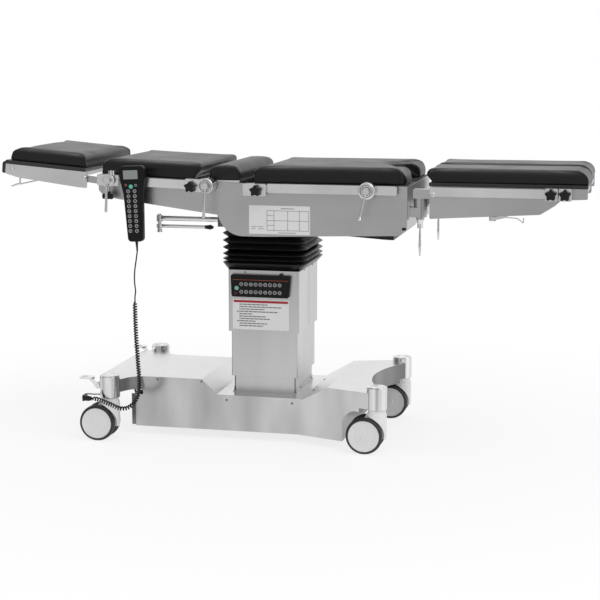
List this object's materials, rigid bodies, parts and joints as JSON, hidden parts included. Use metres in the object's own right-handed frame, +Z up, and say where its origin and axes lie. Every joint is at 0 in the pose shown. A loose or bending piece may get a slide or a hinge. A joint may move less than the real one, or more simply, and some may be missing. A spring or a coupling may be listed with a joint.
{
  "type": "operating table",
  "caption": "Mobile operating table: head, back, kidney, seat and split leg sections on a telescopic column with a tilting head, standing on a low base with twin-wheel casters.",
  "frame": {"origin": "on the floor, on the axis of the column", "axes": "+X along the table towards the foot end, +Y across towards the far long side, +Z up"},
  "size_m": [2.0035, 0.679, 1.0032],
  "materials": {
    "stainless": "satin brushed",
    "stainless_sheet": "satin brushed sheet",
    "frame_steel": "dark grey paint",
    "upholstery": "matt black coated fabric",
    "bellows_rubber": "matt black",
    "black_plastic": "matt black",
    "panel_plastic": "black membrane panel",
    "alloy": "satin",
    "bright_steel": "polished",
    "wheel_plastic": "light grey",
    "hood_plastic": "white",
    "handset_plastic": "black",
    "cord_rubber": "black"
  },
  "bodies": {
    "base": {"base_frame": "frame_steel", "base_cover": "stainless_sheet", "caster_housings": "stainless", "column_lower_cover": "stainless_sheet", "outer_mast": "frame_steel", "cord_plug": "cord_rubber", "handset_cord": "cord_rubber"},
    "middle_cover": {"column_middle_cover": "stainless_sheet"},
    "column": {"column_upper_cover": "stainless_sheet", "inner_mast": "frame_steel", "control_panel": "panel_plastic", "lower_bellows": "bellows_rubber"},
    "gimbal": {"gimbal_cross": "frame_steel", "upper_bellows": "bellows_rubber"},
    "seat": {"seat_frame": "frame_steel", "seat_casing": "stainless_sheet", "seat_pad": "upholstery", "seat_rails": "stainless", "seat_underside_cover": "black_plastic"},
    "kidney": {"kidney_carrier": "stainless", "kidney_pad": "upholstery"},
    "crank": {"crank": "bright_steel"},
    "crank_handle": {"crank_handle": "bright_steel"},
    "back": {"back_casing": "stainless_sheet", "back_pad": "upholstery", "back_rails": "stainless"},
    "head": {"head_frame": "stainless_sheet", "head_pad": "upholstery"},
    "head_bail": {"head_bail": "bright_steel"},
    "back_knob": {"back_knob": "black_plastic"},
    "clamp_knob": {"clamp_knob": "black_plastic"},
    "clamp_lever_head": {"clamp_lever_head": "bright_steel"},
    "clamp_lever_back": {"clamp_lever_back": "bright_steel"},
    "clamp_lever_seat": {"clamp_lever_seat": "bright_steel"},
    "brake_pedals": {"brake_pedals": "wheel_plastic"},
    "handset": {"handset": "handset_plastic"},
    "leg_yoke_near": {"leg_yoke_near": "stainless"},
    "leg_near": {"leg_casing_near": "stainless_sheet", "leg_pad_near": "upholstery"},
    "swing_lever_near": {"swing_lever_near": "bright_steel"},
    "leg_release_near": {"leg_release_near": "bright_steel"},
    "seat_knob_near": {"seat_knob_near": "black_plastic"},
    "leg_knob_near_a": {"leg_knob_near_a": "black_plastic"},
    "leg_knob_near_b": {"leg_knob_near_b": "black_plastic"},
    "leg_yoke_far": {"leg_yoke_far": "stainless"},
    "leg_far": {"leg_casing_far": "stainless_sheet", "leg_pad_far": "upholstery"},
    "swing_lever_far": {"swing_lever_far": "bright_steel"},
    "leg_release_far": {"leg_release_far": "bright_steel"},
    "seat_knob_far": {"seat_knob_far": "black_plastic"},
    "leg_knob_far_a": {"leg_knob_far_a": "black_plastic"},
    "leg_knob_far_b": {"leg_knob_far_b": "black_plastic"},
    "caster_head_near": {"caster_fork_head_near": "hood_plastic"},
    "wheels_head_near": {"caster_wheels_head_near": "wheel_plastic"},
    "caster_head_far": {"caster_fork_head_far": "hood_plastic"},
    "wheels_head_far": {"caster_wheels_head_far": "wheel_plastic"},
    "caster_foot_near": {"caster_fork_foot_near": "hood_plastic"},
    "wheels_foot_near": {"caster_wheels_foot_near": "wheel_plastic"},
    "caster_foot_far": {"caster_fork_foot_far": "hood_plastic"},
    "wheels_foot_far": {"caster_wheels_foot_far": "wheel_plastic"}
  },
  "joints": [
    {"name": "column_lift", "type": "slide", "parent": "base", "child": "column", "axis": [0, 0, 1], "range_m": [-0.2, 0.065], "deforming": ["handset_cord"]},
    {"name": "middle_cover_slide", "type": "slide", "parent": "base", "child": "middle_cover", "axis": [0, 0, 1], "range_m": [-0.058, 0.019]},
    {"name": "trendelenburg_tilt", "type": "hinge", "parent": "column", "child": "gimbal", "pos_m": [0, 0, 0.68], "axis": [0, 1, 0], "range_deg": [-25, 25], "deforming": ["lower_bellows"]},
    {"name": "lateral_tilt", "type": "hinge", "parent": "gimbal", "child": "seat", "pos_m": [0, 0, 0.68], "axis": [1, 0, 0], "range_deg": [-18, 18], "deforming": ["upper_bellows"]},
    {"name": "kidney_lift", "type": "slide", "parent": "seat", "child": "kidney", "axis": [0, 0, 1], "range_m": [0, 0.11]},
    {"name": "crank_turn", "type": "hinge", "parent": "seat", "child": "crank", "pos_m": [-0.36, -0.18, 0.764], "axis": [1, 0, 0], "range_deg": [0, 1441]},
    {"name": "crank_fold", "type": "hinge", "parent": "crank", "child": "crank_handle", "pos_m": [-0.36, -0.18, 0.737], "axis": [0, 0, -1], "range_deg": [-180, 0]},
    {"name": "back_fold", "type": "hinge", "parent": "seat", "child": "back", "pos_m": [-0.044, 0, 0.807], "axis": [0, -1, 0], "range_deg": [-73, 17]},
    {"name": "head_fold", "type": "hinge", "parent": "back", "child": "head", "pos_m": [-0.608, 0, 0.90274], "axis": [0, 1, 0], "range_deg": [-90, 30]},
    {"name": "head_bail_swing", "type": "hinge", "parent": "head", "child": "head_bail", "pos_m": [-0.84436, 0, 0.90813], "axis": [0, 1, 0], "range_deg": [0, 20]},
    {"name": "leg_swing_near", "type": "hinge", "parent": "seat", "child": "leg_yoke_near", "pos_m": [0.551, -0.218, 0.811], "axis": [0, 0, -1], "range_deg": [0, 90]},
    {"name": "leg_fold_near", "type": "hinge", "parent": "leg_yoke_near", "child": "leg_near", "pos_m": [0.597, -0.218, 0.872], "axis": [0, -1, 0], "range_deg": [-90, 15]},
    {"name": "swing_lever_turn_near", "type": "hinge", "parent": "leg_yoke_near", "child": "swing_lever_near", "pos_m": [0.551, -0.218, 0.78], "axis": [0, 0, 1], "range_deg": [0, 120]},
    {"name": "leg_release_press_near", "type": "hinge", "parent": "leg_near", "child": "leg_release_near", "pos_m": [0.782, -0.154, 0.788], "axis": [0, -1, 0], "range_deg": [0, 8], "stiffness_Nm_per_rad": 0.8},
    {"name": "seat_knob_turn_near", "type": "hinge", "parent": "seat", "child": "seat_knob_near", "pos_m": [0.011, -0.29, 0.876], "axis": [0, 1, 0], "continuous": true},
    {"name": "leg_knob_turn_near_a", "type": "hinge", "parent": "leg_near", "child": "leg_knob_near_a", "pos_m": [0.978, -0.29, 0.882], "axis": [0, 1, 0], "continuous": true},
    {"name": "leg_knob_turn_near_b", "type": "hinge", "parent": "leg_near", "child": "leg_knob_near_b", "pos_m": [1.022, -0.29, 0.882], "axis": [0, 1, 0], "continuous": true},
    {"name": "leg_swing_far", "type": "hinge", "parent": "seat", "child": "leg_yoke_far", "pos_m": [0.551, 0.218, 0.811], "axis": [0, 0, 1], "range_deg": [0, 90]},
    {"name": "leg_fold_far", "type": "hinge", "parent": "leg_yoke_far", "child": "leg_far", "pos_m": [0.597, 0.218, 0.872], "axis": [0, -1, 0], "range_deg": [-90, 15]},
    {"name": "swing_lever_turn_far", "type": "hinge", "parent": "leg_yoke_far", "child": "swing_lever_far", "pos_m": [0.551, 0.218, 0.78], "axis": [0, 0, 1], "range_deg": [0, 120]},
    {"name": "leg_release_press_far", "type": "hinge", "parent": "leg_far", "child": "leg_release_far", "pos_m": [0.782, 0.154, 0.788], "axis": [0, -1, 0], "range_deg": [0, 8], "stiffness_Nm_per_rad": 0.8},
    {"name": "seat_knob_turn_far", "type": "hinge", "parent": "seat", "child": "seat_knob_far", "pos_m": [0.011, 0.29, 0.876], "axis": [0, 1, 0], "continuous": true},
    {"name": "leg_knob_turn_far_a", "type": "hinge", "parent": "leg_far", "child": "leg_knob_far_a", "pos_m": [0.978, 0.29, 0.882], "axis": [0, 1, 0], "continuous": true},
    {"name": "leg_knob_turn_far_b", "type": "hinge", "parent": "leg_far", "child": "leg_knob_far_b", "pos_m": [1.022, 0.29, 0.882], "axis": [0, 1, 0], "continuous": true},
    {"name": "back_knob_turn", "type": "hinge", "parent": "back", "child": "back_knob", "pos_m": [-0.21442, -0.29, 0.88399], "axis": [0, 1, 0], "continuous": true},
    {"name": "clamp_knob_turn", "type": "hinge", "parent": "back", "child": "clamp_knob", "pos_m": [-0.50921, -0.2795, 0.86627], "axis": [0.0349, 0, 0.9994], "continuous": true},
    {"name": "clamp_lever_head_turn", "type": "hinge", "parent": "back", "child": "clamp_lever_head", "pos_m": [-0.502, -0.3, 0.90104], "axis": [0, 1, 0], "range_deg": [0, 90]},
    {"name": "clamp_lever_back_turn", "type": "hinge", "parent": "back", "child": "clamp_lever_back", "pos_m": [-0.15821, -0.3, 0.88904], "axis": [0, -1, 0], "range_deg": [0, 90]},
    {"name": "clamp_lever_seat_turn", "type": "hinge", "parent": "seat", "child": "clamp_lever_seat", "pos_m": [0.385, -0.3, 0.883], "axis": [0, 1, 0], "range_deg": [0, 90]},
    {"name": "caster_swivel_head_near", "type": "hinge", "parent": "base", "child": "caster_head_near", "pos_m": [-0.514, -0.285, 0.15], "axis": [0, 0, 1], "continuous": true},
    {"name": "wheel_spin_head_near", "type": "hinge", "parent": "caster_head_near", "child": "wheels_head_near", "pos_m": [-0.552, -0.285, 0.0625], "axis": [0, 1, 0], "continuous": true},
    {"name": "caster_swivel_head_far", "type": "hinge", "parent": "base", "child": "caster_head_far", "pos_m": [-0.514, 0.285, 0.15], "axis": [0, 0, 1], "continuous": true},
    {"name": "wheel_spin_head_far", "type": "hinge", "parent": "caster_head_far", "child": "wheels_head_far", "pos_m": [-0.552, 0.285, 0.0625], "axis": [0, 1, 0], "continuous": true},
    {"name": "caster_swivel_foot_near", "type": "hinge", "parent": "base", "child": "caster_foot_near", "pos_m": [0.419, -0.26, 0.15], "axis": [0, 0, 1], "continuous": true},
    {"name": "wheel_spin_foot_near", "type": "hinge", "parent": "caster_foot_near", "child": "wheels_foot_near", "pos_m": [0.381, -0.26, 0.0625], "axis": [0, 1, 0], "continuous": true},
    {"name": "caster_swivel_foot_far", "type": "hinge", "parent": "base", "child": "caster_foot_far", "pos_m": [0.419, 0.26, 0.15], "axis": [0, 0, 1], "continuous": true},
    {"name": "wheel_spin_foot_far", "type": "hinge", "parent": "caster_foot_far", "child": "wheels_foot_far", "pos_m": [0.381, 0.26, 0.0625], "axis": [0, 1, 0], "continuous": true},
    {"name": "brake_pedal_press", "type": "hinge", "parent": "base", "child": "brake_pedals", "pos_m": [-0.557, 0, 0.186], "axis": [0, 1, 0], "range_deg": [-14, 14]},
    {"name": "handset_unhook", "type": "slide", "parent": "back", "child": "handset", "axis": [0, 0, 1], "range_m": [0, 0.03]}
  ],
  "couplings": [
    {"joint": "middle_cover_slide", "follows": "column_lift", "ratio": 0.285},
    {"joint": "crank_turn", "follows": "kidney_lift", "rad_per_m": 228.48}
  ]
}
